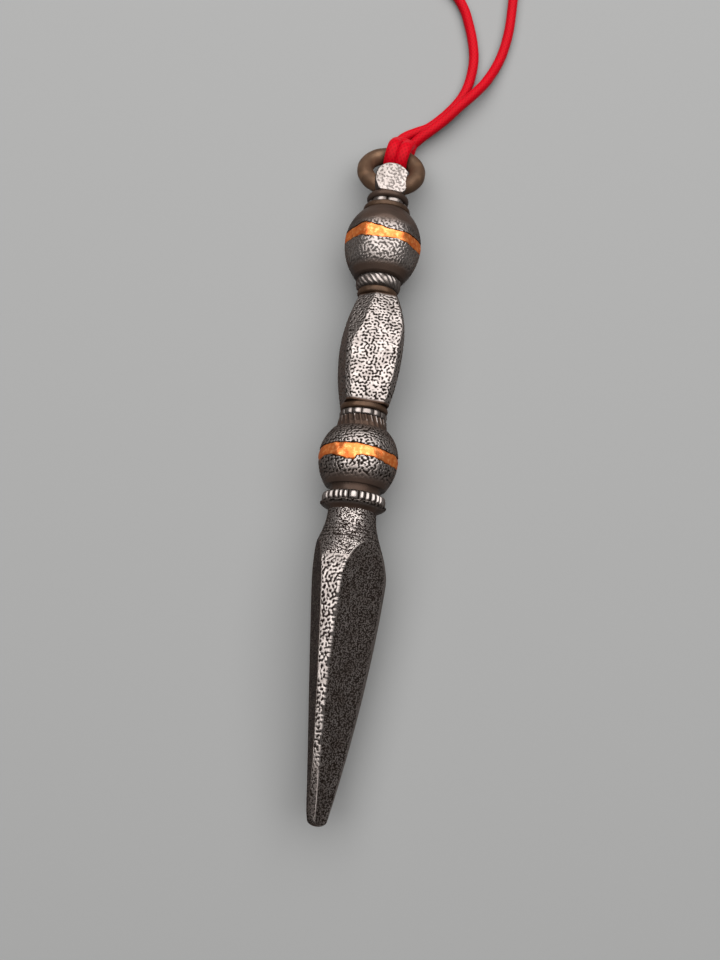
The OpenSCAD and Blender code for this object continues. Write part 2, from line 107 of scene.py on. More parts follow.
def gridMesh(name, grid, loop=False, poles=(None, None), marks=None, uv=False):
    # Quads join each point to the next in its row and the next row; a pole closes an open end with a fan
    rows, cols = grid.shape[:2]
    points = [grid.reshape(-1, 3)]
    i = np.arange(rows if loop else rows - 1)[:, None]
    j = np.arange(cols)[None, :]
    nextJ = (j + 1) % cols
    nextI = (i + 1) % rows
    quads = np.stack([i * cols + j, i * cols + nextJ, nextI * cols + nextJ, nextI * cols + j], -1).reshape(-1, 4)
    corners = [quads.ravel()]
    sizes = [np.full(len(quads), 4)]
    wrap = np.broadcast_arrays(j[..., None] + [0, 1, 1, 0], i[..., None] + [0, 0, 1, 1])
    uvs = [np.stack(wrap, -1).reshape(-1, 2) / [cols, rows]]
    poleRows = []
    for pole, row in ((poles[0], 0), (poles[1], rows - 1)):
        if pole is None:
            continue
        centre = np.full(cols, rows * cols + len(poleRows))
        ring, nextRing = row * cols + j[0], row * cols + nextJ[0]
        fan = np.stack([centre, nextRing, ring] if row == 0 else [ring, nextRing, centre], -1)
        corners.append(fan.ravel())
        sizes.append(np.full(cols, 3))
        points.append(np.array(pole, float).reshape(1, 3))
        uvs.append(np.tile([[0.5, row / rows]], (3 * cols, 1)))
        poleRows.append(row)
    points, corners, sizes = np.concatenate(points), np.concatenate(corners), np.concatenate(sizes)
    mesh = bpy.data.meshes.new(name)
    mesh.vertices.add(len(points))
    mesh.vertices.foreach_set("co", (points * mm).astype(np.float32).ravel())
    mesh.loops.add(len(corners))
    mesh.loops.foreach_set("vertex_index", corners.astype(np.int32))
    mesh.polygons.add(len(sizes))
    mesh.polygons.foreach_set("loop_start", (np.cumsum(sizes) - sizes).astype(np.int32))
    mesh.polygons.foreach_set("use_smooth", np.ones(len(sizes), bool))
    if uv:
        layer = mesh.uv_layers.new(name="wrap")
        layer.data.foreach_set("uv", np.concatenate(uvs).astype(np.float32).ravel())
    for mark, values in (marks or {}).items():
        values = np.broadcast_to(values, (rows, cols))
        ends = [values[row].mean() for row in poleRows]
        field = mesh.attributes.new(mark, "FLOAT", "POINT")
        field.data.foreach_set("value", np.concatenate([values.ravel(), ends]).astype(np.float32))
    mesh.update(calc_edges=True)
    mesh.validate()
    piece = bpy.data.objects.new(name, mesh)
    bpy.context.collection.objects.link(piece)
    return piece


def hand(piece, finish, slot, body, *nodes, sharp=60):
    # Gives a piece its finish, its creases and the body that carries it
    piece.data.materials.append(finish)
    piece.data.set_sharp_from_angle(angle=math.radians(sharp))
    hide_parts(*nodes)
    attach(piece, body)
    print(piece.name, len(piece.data.polygons), "faces")
    return piece


def angles(count):
    return np.arange(count) * fullTurn / count


def turned(y, r, angle):  # points at distance y along the dagger, radius r and turn from straight up, positive right
    y, r, angle = np.broadcast_arrays(y, r, angle)
    return np.stack([r * np.sin(angle), y, axisHeight + r * np.cos(angle)], -1)


def outwards(grid):  # unit normals of a grid whose columns close on themselves
    alongRow = np.roll(grid, -1, 1) - np.roll(grid, 1, 1)
    alongColumn = np.gradient(grid, axis=0)
    normal = np.cross(alongRow, alongColumn)
    return normal / np.maximum(np.linalg.norm(normal, axis=-1, keepdims=True), 1e-12)


def closedMesh(name, first, grid, last, **marks):
    # Closes a grid on itself through one more row at each end, which takes the marks of the row beside it
    marks = {mark: np.concatenate([values[:1], values, values[-1:]]) for mark, values in marks.items()}
    return gridMesh(name, np.concatenate([first, grid, last]), loop=True, marks=marks)


def boredMesh(name, grid, start, end, angle, **marks):  # closes a turned grid through the hole for the tang
    return closedMesh(name, turned(start, bore, angle), grid, turned(end, bore, angle), **marks)


def softLeast(choices, edge):  # the least of several radii, rounded over by about edge where they cross
    least = np.min(choices, axis=0)
    return least - edge * np.log(np.exp(-(np.array(choices) - least) / edge).sum(0))


def swellRadius(s, shape):
    # Arcs that fall from the widest place to foot and head; s is the distance from the foot
    run = np.where(s < shape["footRun"], shape["footRun"], shape["headRun"])
    sag = shape["widest"] - np.where(s < shape["footRun"], shape["foot"], shape["head"])
    arc = (run ** 2 + sag ** 2) / (2 * sag)
    return shape["widest"] - arc + np.sqrt(np.maximum(arc ** 2 - (s - shape["footRun"]) ** 2, 0))


# Etching: plane waves of about one length in all directions add up to a maze of ridges and pits
etchWaves = dict(count=80, seed=7, spread=0.15, slope=0.45)
draw = np.random.default_rng(etchWaves["seed"])
waveHeading = draw.normal(size=(etchWaves["count"], 3))
waveHeading /= np.linalg.norm(waveHeading, axis=1, keepdims=True)
waveHeading /= np.exp(draw.normal(0, etchWaves["spread"], (etchWaves["count"], 1)))
wavePhase = draw.uniform(0, fullTurn, etchWaves["count"])


def maze(points, cell):  # the sum of the waves at each point, with a spread of one, for a cell in millimetres
    turns = points.reshape(-1, 3) @ (waveHeading.T / cell)
    waves = np.cos(fullTurn * turns + wavePhase).sum(1) * math.sqrt(2 / etchWaves["count"])
    return waves.reshape(points.shape[:-1])


def pitted(points, shape):  # 1 in the pits, where the maze is over the shape's level, and 0 on the plateaus
    level, slope = shape["level"], etchWaves["slope"]
    return smooth(maze(points, shape["cell"]), level - slope, level + slope)


def etched(grid, shape, amount):  # sinks the pits along the normals, by the shape's depth times amount
    pit = pitted(grid, shape) * amount
    return grid - (shape["depth"] * pit)[..., None] * outwards(grid), pit


# Finishes: node sockets take a number, a colour or a link from another node
noiseRange, patchRange, stainRange = (0.3, 0.7), (0.35, 0.68), (0.35, 0.7)  # parts of the noise that are used


def startMaterial(name):
    material = bpy.data.materials.new(name)
    material.use_nodes = True
    return material, material.node_tree, material.node_tree.nodes["Principled BSDF"]


def setSockets(tree, node, sockets):
    for label, value in sockets.items():
        if isinstance(value, tuple):
            node.inputs[label].default_value = (*value, 1)
        elif isinstance(value, (int, float)):
            node.inputs[label].default_value = value
        else:
            tree.links.new(value, node.inputs[label])


def made(tree, kind, output, sockets, **options):  # adds a node and gives the output asked for
    node = tree.nodes.new("ShaderNode" + kind)
    for option, value in options.items():
        setattr(node, option, value)
    setSockets(tree, node, sockets)
    return node.outputs[output]


def blended(tree, factor, first, second):  # mixes two colours
    return made(tree, "Mix", 2, {0: factor, 6: first, 7: second}, data_type="RGBA")


def ranged(tree, value, low, high, toLow=0, toHigh=1):  # maps low..high to toLow..toHigh and holds the ends
    return made(tree, "MapRange", "Result", {"Value": value, "From Min": low, "From Max": high, "To Min": toLow,
                                             "To Max": toHigh})


def combined(tree, operation, first, second):
    return made(tree, "Math", 0, {0: first, 1: second}, operation=operation)


def marked(tree, mark):  # a mark painted on the piece's own points
    return made(tree, "Attribute", "Fac", {}, attribute_name=mark)


def cloudy(tree, scale, detail=3.0):  # noise on the piece's own coordinates
    place = made(tree, "TexCoord", "Object", {})
    return made(tree, "TexNoise", "Fac", {"Vector": place, "Scale": scale, "Detail": detail})


def bumped(tree, height, tones, invert=False):  # relief, with its depth in millimetres
    return made(tree, "Bump", "Normal", {"Height": height, "Strength": tones["relief"],
                                         "Distance": tones["reliefDepth"] * mm}, invert=invert)


ironTones = dict(bright=(0.222, 0.196, 0.183), dull=(0.033, 0.0185, 0.0122), pit=(0.0055, 0.0037, 0.0028),
                 edge=(0.25, 0.17, 0.13), stained=0.55, rubVary=(0.72, 1.12), metalDull=0.35, metalPit=0.4,
                 smoothness=0.34, pitRoughness=0.6, roughVary=(0.1, -0.04), gloss=0.12, mottle=700, stain=260,
                 network=5100, fineShare=(-0.4, 0.05), line=(0.47, 0.54), relief=0.5, reliefDepth=0.04)


def ironFinish(tones):
    # Rubbed plateaus are bright metal, unrubbed ones brown patina, and pits nearly black
    material, tree, shader = startMaterial("etchedIron")
    share = ranged(tree, marked(tree, "fine"), 0, 1, *tones["fineShare"])
    network = combined(tree, "ADD", cloudy(tree, tones["network"], 1.0), share)
    network = ranged(tree, network, *tones["line"])
    pit = combined(tree, "MAXIMUM", marked(tree, "pit"), network)
    mottle = cloudy(tree, tones["mottle"])
    stain = ranged(tree, cloudy(tree, tones["stain"]), *stainRange)
    rubbed = combined(tree, "MULTIPLY", marked(tree, "rub"), ranged(tree, mottle, *noiseRange, *tones["rubVary"]))
    brown = blended(tree, stain, tones["dull"], tuple(c * tones["stained"] for c in tones["dull"]))
    plateau = blended(tree, rubbed, brown, tones["bright"])
    metal = combined(tree, "MULTIPLY", ranged(tree, rubbed, 0, 0.5, tones["metalDull"], 1),
                     ranged(tree, pit, 0, 1, 1, tones["metalPit"]))
    rough = combined(tree, "ADD", ranged(tree, pit, 0, 1, tones["smoothness"], tones["pitRoughness"]),
                     ranged(tree, mottle, *noiseRange, *tones["roughVary"]))
    setSockets(tree, shader, {
        "Base Color": blended(tree, pit, plateau, tones["pit"]), "Metallic": metal, "Roughness": rough,
        "Specular Tint": tones["edge"], "Specular IOR Level": tones["gloss"],
        "Normal": bumped(tree, network, tones, invert=True)})
    return material


copperTones = dict(clear=(0.47, 0.138, 0.036), red=(0.37, 0.078, 0.017), fleck=(0.6, 0.24, 0.085),
                   pit=(0.15, 0.042, 0.014), edge=(0.6, 0.3, 0.2), patches=900, flecks=2300, fleckRange=(0.5, 0.66),
                   fleckShare=0.75, metal=0.78, roughness=(0.3, 0.46))


def copperFinish(tones):
    # Rubbed copper: orange metal, redder and rougher in soft patches, with lighter flecks
    material, tree, shader = startMaterial("rubbedCopper")
    patch = cloudy(tree, tones["patches"])
    tone = blended(tree, ranged(tree, patch, *patchRange), tones["clear"], tones["red"])
    fleck = ranged(tree, cloudy(tree, tones["flecks"]), *tones["fleckRange"], 0, tones["fleckShare"])
    tone = blended(tree, fleck, tone, tones["fleck"])
    setSockets(tree, shader, {
        # the pit mark darkens the copper: random spots, and painted shade along the band's rims
        "Base Color": blended(tree, marked(tree, "pit"), tone, tones["pit"]), "Metallic": tones["metal"],
        "Roughness": ranged(tree, patch, *noiseRange, *tones["roughness"]), "Specular Tint": tones["edge"]})
    return material


patinaTones = dict(light=(0.04, 0.023, 0.0145), dark=(0.017, 0.0105, 0.0072), rubbed=(0.18, 0.102, 0.06),
                   edge=(0.5, 0.38, 0.3), clouds=520, metal=0.5, gloss=0.3, roughness=(0.36, 0.52))


def patinaFinish(tones):
    # Smooth brown patina on warm dark metal, lighter where it is rubbed
    material, tree, shader = startMaterial("brownPatina")
    cloud = cloudy(tree, tones["clouds"])
    tone = blended(tree, ranged(tree, cloud, *patchRange), tones["light"], tones["dark"])
    setSockets(tree, shader, {
        "Base Color": blended(tree, marked(tree, "rub"), tone, tones["rubbed"]), "Metallic": tones["metal"],
        "Roughness": ranged(tree, cloud, *noiseRange, *tones["roughness"]), "Specular Tint": tones["edge"],
        "Specular IOR Level": tones["gloss"]})
    return material


cordTones = dict(shadeAndMottle=(0.172, 0.0004, 0.0026), thread=(0.245, 0.0007, 0.0046), weave=(-0.4, 0.9), clouds=420,
                 cloudShare=0.4, threads=9, winding=0.7, roughness=0.42, gloss=0.03, sheen=0.1,
                 sheenTone=(1, 0.05, 0.08), relief=0.08, reliefDepth=0.05)


def cordFinish(tones):
    # Satin braid: two sets of threads wind round the cord in opposite directions, seen in relief and in painted shade
    # between the threads, with darker red clouds at random
    material, tree, shader = startMaterial("redSatinCord")
    place = made(tree, "UVMap", "UV", {}, uv_map="wrap")
    across = combined(tree, "MULTIPLY", made(tree, "SeparateXYZ", "X", {0: place}), fullTurn * tones["threads"])
    along = marked(tree, "length")
    windings = []
    for way in (1, -1):
        turn = combined(tree, "MULTIPLY", along, way * fullTurn / tones["winding"])
        windings.append(combined(tree, "SINE", combined(tree, "ADD", across, turn), 0.0))
    weave = combined(tree, "MAXIMUM", *windings)
    # painted shade: the red is darker between the threads, where the braid dips
    tone = blended(tree, ranged(tree, weave, *tones["weave"]), tones["shadeAndMottle"], tones["thread"])
    cloud = ranged(tree, cloudy(tree, tones["clouds"]), *stainRange, 0, tones["cloudShare"])
    setSockets(tree, shader, {
        "Base Color": blended(tree, cloud, tone, tones["shadeAndMottle"]), "Roughness": tones["roughness"],
        "Specular IOR Level": tones["gloss"], "Sheen Weight": tones["sheen"], "Sheen Tint": tones["sheenTone"],
        "Normal": bumped(tree, weave, tones)})
    return material


iron = ironFinish(ironTones)
patina = patinaFinish(patinaTones)
copper = copperFinish(copperTones)
redCord = cordFinish(cordTones)
print("finishes made")


# Cord: one loop from the hitch, round a coil and back, in millimetres as the CAD route has it
cordRoute = dict(
    radius=0.75, step=0.25, sides=16,
    left=[(1.0, 50.7, 0.85), (1.9, 51.5, 0.76), (3.3, 52.3, 0.75), (4.9, 53.2, 0.75), (6.95, 55.3, 0.75),
          (8.75, 57.75, 0.75), (9.8, 59.95, 0.75), (10.4, 62.5, 0.75), (10.6, 65.6, 0.75), (10.2, 68.5, 0.75),
          (9.45, 71.3, 0.75), (8.3, 74.4, 0.75), (6.4, 77.1, 0.75), (3.2, 79.2, 0.75), (-2.0, 80.7, 0.75),
          (-7.3, 83.3, 0.75), (-10.1, 88.0, 0.75), (-10.5, 93.4, 0.75)],
    right=[(3.1, 50.2, 1.35), (4.0, 51.0, 1.75), (5.2, 52.05, 2.05), (7.2, 54.15, 2.1), (9.1, 56.55, 2.1),
           (10.9, 58.75, 2.0), (12.55, 61.25, 1.55), (14.0, 64.45, 0.95), (14.95, 67.5, 0.75), (15.55, 71.1, 0.75),
           (15.75, 75.0, 0.75), (15.8, 80.6, 0.75), (15.7, 84.2, 0.85), (15.6, 87.4, 1.5), (15.5, 90.0, 2.4),
           (15.5, 92.0, 2.7), (15.5, 93.4, 2.7)])
coilShape = dict(centre=(2.5, 95.0), radius=13.0, pitch=1.95, turns=9.5, perTurn=24, tie=0.4, tieReach=60, tieEase=40)
ringShape = dict(mean=3.8, bar=1.2, sink=0.35, lean=25, around=220, sides=64, dentCell=2.2, dent=0.02, pitTone=0.25,
                 rub=0.18, rubGain=0.2)
hitchShape = dict(turn=14, half=0.98, inner=0.8, clear=0.06, legEnd=7.3, legRise=0.1, wrap=(-40, -301, -20),
                  crossUp=1.25, pinch=0.27, spread=0.26, spreadRun=(2.0, 4.0))


def coilPath(shape):
    # Winds in on the floor, climbs a layer in the half turn where it reverses, winds out, and lifts over its tie
    sweep = 360 * shape["turns"]
    a = np.linspace(0, sweep, int(shape["turns"] * shape["perTurn"]) + 1)
    r = shape["radius"] - shape["pitch"] * np.minimum(a, sweep - a) / 360
    lift = shape["tie"] * np.clip((shape["tieReach"] - abs(a % 360 - 90)) / shape["tieEase"], 0, 1)
    climb = shape["pitch"] * np.clip((a - sweep / 2) / 180 + 0.5, 0, 1)
    turn = np.radians(a)
    return np.stack([shape["centre"][0] - r * np.cos(turn), shape["centre"][1] + r * np.sin(turn),
                     cordRoute["radius"] + lift + climb], -1)


def onRing(points):  # from the ring's own plane, as across, out and up, to the dagger's frame
    lean = math.radians(ringShape["lean"])
    out = ringShape["mean"] - ringShape["sink"] + points[..., 1]
    return hingePoint + np.stack([points[..., 0], out * math.cos(lean) + points[..., 2] * math.sin(lean),
                                  points[..., 2] * math.cos(lean) - out * math.sin(lean)], -1)


def hitchPath(shape):
    # A leg comes in under the ring, wraps up through it and over the bar, crosses, and goes back the same way
    half, end, rise, up = shape["half"], shape["legEnd"], shape["legRise"], shape["crossUp"]
    leg = [(-half, end, rise), (-half, end - 0.7, rise - 0.15), (-half, end - 1.5, rise - 0.75)]
    a = np.radians(np.arange(*shape["wrap"]))
    pressed = cordRoute["radius"] - shape["pinch"] * np.clip(np.sin(math.radians(ringShape["lean"]) - a), 0, 1)
    across = half - (half - shape["inner"]) * (1 - np.cos(a)) / 2
    reach = ringShape["bar"] + pressed + shape["clear"]
    out = ringShape["mean"] + reach * np.cos(a)
    bend = np.stack([-across, np.sqrt(out ** 2 - across ** 2), reach * np.sin(a)], -1)
    far = ringShape["mean"] + ringShape["bar"] + cordRoute["radius"] + shape["clear"]
    cross = [(-half * 0.92, far - 0.45, up + 0.25), (-half * 0.55, far, up)]
    first = np.concatenate([leg, bend, cross])
    radii = np.concatenate([[cordRoute["radius"]] * len(leg), pressed, [cordRoute["radius"]] * len(cross)])
    flat = np.concatenate([first, [(0, far + 0.1, up)], first[::-1] * [-1, 1, 1]])
    radii = np.concatenate([radii, radii[-1:], radii[::-1]])
    turn = math.radians(shape["turn"])
    spun = np.stack([flat[:, 0] * math.cos(turn) + flat[:, 1] * math.sin(turn),
                     flat[:, 1] * math.cos(turn) - flat[:, 0] * math.sin(turn), flat[:, 2]], -1)
    return np.concatenate([onRing(spun), radii[:, None]], 1)


def smoothLine(points, step, perSpan=12):
    # Catmull-Rom curve through the points, then points a step apart along it; further columns go along
    p = np.array(points, float)
    p = np.concatenate([2 * p[:1] - p[1:2], p, 2 * p[-1:] - p[-2:-1]])
    s = np.linspace(0, 1, perSpan, endpoint=False)[None, :, None]
    a, b, c, d = (p[k:len(p) - 3 + k, None] for k in range(4))
    curve = b + 0.5 * ((c - a) * s + (2 * a - 5 * b + 4 * c - d) * s ** 2 + (3 * b - a - 3 * c + d) * s ** 3)
    curve = np.concatenate([curve.reshape(-1, p.shape[1]), p[-2:-1]])
    run = np.concatenate([[0], np.cumsum(np.linalg.norm(np.diff(curve[:, :3], axis=0), axis=1))])
    even = np.linspace(0, run[-1], int(run[-1] / step) + 1)
    return np.stack([np.interp(even, run, column) for column in curve.T], -1), even


def tubeGrid(path, thick, wide, sides):
    # An oval carried along the path; its frame turns no more than the path does
    heading = np.gradient(path, axis=0)
    heading /= np.linalg.norm(heading, axis=1, keepdims=True)
    side = np.zeros_like(heading)
    last = np.array([0.0, 0.0, 1.0])
    for k, ahead in enumerate(heading):
        last = last - (last @ ahead) * ahead
        last = last / np.linalg.norm(last)
        side[k] = last
    other = np.cross(heading, side)
    a = angles(sides)[None, :, None]
    thick, wide = (np.broadcast_to(size, len(path))[:, None, None] for size in (thick, wide))
    return path[:, None] + thick * np.cos(a) * side[:, None] + wide * np.sin(a) * other[:, None]


def cordTube(name, path, run, thick, wide):
    grid = tubeGrid(path, thick, wide, cordRoute["sides"])
    return gridMesh(name, grid, poles=(path[0], path[-1]), marks={"length": run[:, None]}, uv=True)


def cords():
    hitch, hitchRun = smoothLine(hitchPath(hitchShape), cordRoute["step"] / 2)
    hitch, thick = hitch[:, :3], hitch[:, 3]
    fromEnd = np.minimum(hitchRun, hitchRun[-1] - hitchRun)
    spread = hitchShape["spread"] * smooth(fromEnd, *hitchShape["spreadRun"])  # the cord lies flat over the bar
    knot = cordTube("ring_hitch", hitch, hitchRun, thick * (1 - spread / 2), thick * (1 + spread))
    hand(knot, redCord, "red_cord", bodyOf["loose"], "cord_hitch", sharp=50)
    route = [hitch[0], *cordRoute["left"], *coilPath(coilShape), *cordRoute["right"][::-1], hitch[-1]]
    path, run = smoothLine(route, cordRoute["step"])
    loop = cordTube("neck_cord", path, run, cordRoute["radius"], cordRoute["radius"])
    loop.data.materials.append(redCord)
    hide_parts("cord_left_strand", "cord_right_strand", "cord_coil")
    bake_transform(loop)
    print("neck cord", round(run[-1]), "mm long")
    return knot, loop, path, run[-1]


# Tie: a flat band of thread wound round all the coil's turns, its ribs running round the loop
tieShape = dict(corner=0.5, ribs=5, relief=0.07, sidePoints=10, cornerPoints=6, rowRun=0.6)


def coilTie(shape):
    low, high = (np.array(corner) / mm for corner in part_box("coil_tie"))
    thick, wide = coilShape["tie"], high[0] - low[0]
    centre = (low + high) / 2
    half = (high - low) / 2 - shape["corner"] - thick / 2
    turn = np.radians(np.linspace(0, 90, shape["cornerPoints"]))
    bend = np.concatenate([turn + k * math.pi / 2 for k in range(4)])
    corner = np.repeat([(1, 1), (-1, 1), (-1, -1), (1, -1)], shape["cornerPoints"], axis=0)
    out = np.stack([np.cos(bend), np.sin(bend)], -1)
    middle = corner * half[1:] + shape["corner"] * out
    s = np.linspace(0, 1, shape["sidePoints"], endpoint=False)  # along each side of the band's section
    face = np.concatenate([s, s * 0 + 1, 1 - s, s * 0])
    x = wide * (0.5 - face)
    rise = np.concatenate([s * 0 + 1, 1 - 2 * s, s * 0 - 1, 2 * s - 1]) * thick / 2
    rib = shape["relief"] * (1 - abs(np.sin(shape["ribs"] * math.pi * face))) * np.sign(rise)
    yz = middle[:, None] + out[:, None] * (rise - rib)[None, :, None]
    grid = np.concatenate([np.broadcast_to(centre[0] + x[None, :, None], (*yz.shape[:2], 1)), centre[1:] + yz], -1)
    run = np.arange(len(grid))[:, None] * shape["rowRun"]
    tie = gridMesh("coil_band", grid, loop=True, marks={"length": run}, uv=True)
    return hand(tie, redCord, "red_cord", bodyOf["stack"], "coil_tie", sharp=50)


knot, loop, loopPath, loopLength = cords()
tie = coilTie(tieShape)


# Blade: three flats cut from a turned spike, with a narrow facet between each pair; mesh columns follow the edges
bladeShape = dict(rows=480, tipRows=8, facetCols=44, flatCols=22, tipRadius=1.3, tipRound=0.8, tipTurn=(0.12, 1.25),
                  shoulder=31.0, ridge=5.5, belly=0.6, neck=3.25, flatStart=0.97, flatGrowth=0.09,
                  flatTurn=(1.0, 0.035), facetFade=(0.6, 1.0), grazing=0.05, roll=-20, drift=0.45, driftRun=6,
                  tang=1.4, edge=0.025, cell=0.46, level=0.3, depth=0.05, pitsFrom=(6.5, 8), pitsTo=(33.3, 34),
                  neckRing=0.5, ringsFrom=(35.6, 36.3), ringsTo=(37.8, 38.6), ringTone=0.9, ringWidth=(-0.2, 0.6),
                  waver=0.5, waverCell=1.5, flatRub=0.8, flatVary=0.1, flatCell=3.0, facetRub=0.66, facetGain=0.29,
                  facetRise=(4, 13), edgeRub=0.9, fineShare=0.93, fineRise=(0.02, 0.3), runOut=(0.05, 0.2))


def blade(shape):
    length = span("beaded_collar")[0] - tipY
    tipRound, shoulder, grazing = shape["tipRound"], shape["shoulder"], shape["grazing"]
    facetCols, flatCols = shape["facetCols"], shape["flatCols"]
    rounding = tipRound * (1 - np.cos(np.linspace(*shape["tipTurn"], shape["tipRows"])))
    t = np.concatenate([rounding, np.linspace(tipRound, length, shape["rows"] - shape["tipRows"])])[:, None]
    cap = shape["tipRadius"] * np.sqrt(np.clip(1 - (1 - t / tipRound) ** 2, 0, 1))
    s = np.clip((t - tipRound) / (shoulder - tipRound), 0, 1)
    taper = shape["tipRadius"] + s * (shape["ridge"] - shape["tipRadius"]) + 4 * shape["belly"] * s * (1 - s)
    fall = np.clip((t - shoulder) / (length - shoulder), 0, 1)
    neck = shape["neck"] + (shape["ridge"] - shape["neck"]) * (1 + np.cos(math.pi * fall)) / 2
    spike = np.where(t < tipRound, cap, np.where(t < shoulder, taper, neck))
    facing = np.radians(shape["roll"] + 60 + 120 * np.arange(3))[None, :]
    drift = shape["drift"] * np.exp(-t / shape["driftRun"])  # the flats run out a little to the left at the tip
    away = shape["flatStart"] + shape["flatGrowth"] * t - drift * np.sin(facing)
    half = np.arccos(np.clip(away / spike, *np.cos(shape["flatTurn"])))  # half the turn that each flat takes up
    ends, starts = facing + half, facing - half
    before = np.roll(ends, 1, axis=1) - [[fullTurn, 0, 0]]
    facetSteps, flatSteps = (np.arange(count)[None, :] / count for count in (facetCols, flatCols))
    columns, flats, facets = [], [], []
    for k in range(3):
        first, start, end = (edges[:, k:k + 1] for edges in (before, starts, ends))
        columns += [first + (start - first) * facetSteps, start + (end - start) * flatSteps]
    angle = np.concatenate(columns, 1)
    for k in range(3):
        first, start = before[:, k:k + 1], starts[:, k:k + 1]
        flats.append(away[:, k:k + 1] / np.maximum(np.cos(angle - facing[:, k:k + 1]), grazing))
        planed = (1 - np.cos((start - first) / 2)) * (1 - smooth(start - first, *shape["facetFade"]))
        facets.append(spike * (1 - planed) / np.maximum(np.cos(angle - (first + start) / 2), grazing))
    r = softLeast([spike + 0 * angle, *flats, *facets], shape["edge"])
    grid = turned(tipY + t, r, angle)
    spread = np.repeat(smooth(half, *shape["runOut"]), facetCols + flatCols, axis=1)  # 0 where a flat has run out
    onFlat = np.tile(np.repeat([0.0, 1.0], [facetCols, flatCols]), 3)[None, :] * spread
    onEdge = np.tile(np.repeat([1.0, 0.0, 1.0, 0.0], [1, facetCols - 1, 1, flatCols - 1]), 3)[None, :] * spread
    plain = (1 - onFlat) * (1 - onEdge)
    rings = between(t, shape["ringsFrom"], shape["ringsTo"])
    deep = between(t, shape["pitsFrom"], shape["pitsTo"])  # where pits are modelled; the shader draws the finer ones
    grid, pit = etched(grid, shape, plain * deep)
    waver = shape["waver"] * maze(grid, shape["waverCell"])
    lines = rings * smooth(np.cos(fullTurn * t / shape["neckRing"]) + waver, *shape["ringWidth"])
    pit = np.maximum(pit, shape["ringTone"] * lines * plain)
    flatRub = shape["flatRub"] + shape["flatVary"] * maze(grid, shape["flatCell"])
    # the facets are darker towards the tip
    facetRub = shape["facetRub"] + shape["facetGain"] * smooth(t, *shape["facetRise"])
    rub = (1 - onFlat) * facetRub + onFlat * flatRub
    rub = rub + onEdge * (shape["edgeRub"] - rub)
    fine = np.maximum(onFlat, shape["fineShare"] * (1 - deep)) * (1 - onEdge) * smooth(t, *shape["fineRise"])
    tangEnd = span("blade")[1]
    tang = turned(np.array([[tipY + length], [tangEnd]]), shape["tang"], angle[-1:])
    marks = {mark: np.concatenate([values, values[-2:] * 0])
             for mark, values in (("pit", pit), ("rub", rub), ("fine", fine))}
    poles = ((0, tipY, axisHeight), (0, tangEnd, axisHeight))
    piece = gridMesh("faced_blade", np.concatenate([grid, tang]), poles=poles, marks=marks)
    hand(piece, iron, "etched_iron", bodyOf["stack"], "blade", sharp=50)


blade(bladeShape)


# Beaded collar: a sloping underside up to a rim, a row of uneven beads and a groove
collarShape = dict(cols=560, rows=(24, 26, 12), cone=1.0, bead=1.3, neck=3.25, rim=4.5, swell=1.4, lip=0.12,
                   widest=4.3, groove=3.5, hollow=0.12, beads=28, notch=0.34, gapPower=0.9, crown=0.3, uneven=0.05,
                   cell=0.5, level=0.1, depth=0.04, etchFrom=(0.35, 0.7), notchPatinaAndShade=(0.35, 0.75), beadWear=0.5,
                   rub=0.05, rubGain=0.45)


def beadedCollar(shape):
    start, end, _ = span("beaded_collar")
    angle = angles(shape["cols"])[None, :]
    cone, beadEnd = shape["cone"], shape["cone"] + shape["bead"]
    stops = (0, cone, beadEnd, end - start)
    t = np.concatenate([np.linspace(*stops[k:k + 2], count) for k, count in enumerate(shape["rows"])])[:, None]
    part = np.repeat([0, 1, 2], shape["rows"])[:, None]
    warp = angle + shape["uneven"] * np.cos(5 * angle + 1) + 0.6 * shape["uneven"] * np.cos(9 * angle + 2)
    across = np.abs(2 * (t - cone) / shape["bead"] - 1)
    gap = (1 - np.abs(np.cos(shape["beads"] / 2 * warp))) ** shape["gapPower"]
    row = shape["widest"] - shape["crown"] * across ** 3 - shape["notch"] * gap
    rise = np.sin(math.pi / 2 * np.minimum(t / cone, 1)) ** shape["swell"]
    slope = shape["neck"] + (shape["rim"] - shape["neck"]) * rise
    slope = slope - shape["lip"] * smooth(t, cone - shape["lip"], cone)
    hollow = shape["groove"] - shape["hollow"] * np.sin(math.pi * (t - beadEnd))
    r = np.where(part == 0, slope, np.where(part == 1, row, hollow)) + 0 * angle
    underside = np.where(part == 0, smooth(t, *shape["etchFrom"]), 0.0)
    grid, etch = etched(turned(start + t, r, angle), shape, underside)
    # the notches between the beads are darker: patina there, and painted shade
    pit = np.where(part == 1, smooth(gap, *shape["notchPatinaAndShade"]), etch)
    beadRub = 1 - shape["beadWear"] * smooth(across, 0.6, 1)
    rub = np.where(part == 1, beadRub, shape["rub"] + shape["rubGain"] * underside) + 0 * angle
    piece = boredMesh("bead_row_collar", grid, start, end, angle, pit=pit, rub=rub)
    hand(piece, iron, "etched_iron", bodyOf["stack"], "beaded_collar")


beadedCollar(collarShape)


# Knobs: two arcs meet at the copper band, whose hand-cut edges are given as turn in degrees and distance
lowerShape = dict(cols=420, rows=(72, 72), foot=4.05, widest=5.4, head=3.8, footRun=4.1, headRun=3.9, flats=0,
                  edge=0.05, groove=0.45, cell=0.43, level=0.15, depth=0.045, smoothFoot=(0.1, 1.3),
                  smoothHead=(7.6, 8.6), rubFoot=(0.3, 2.6), rubHead=(6.0, 8.2), contrast=1.0, ripple=0.04,
                  lowEdge=[(-110, -0.9), (-72, -1.0), (-53, -0.71), (-42, -0.7), (-30, -1.05), (-17, -1.38),
                           (-6, -1.42), (-2.5, -0.86), (7, -0.76), (22, -0.75), (44, -1.15), (64, -1.2), (110, -0.9)],
                  highEdge=[(-110, 0.8), (-64, 0.85), (-49, 0.95), (-30, 1.0), (0, 0.96), (14, 0.8), (30, 0.66),
                            (49, 0.5), (72, 0.5), (110, 0.8)])
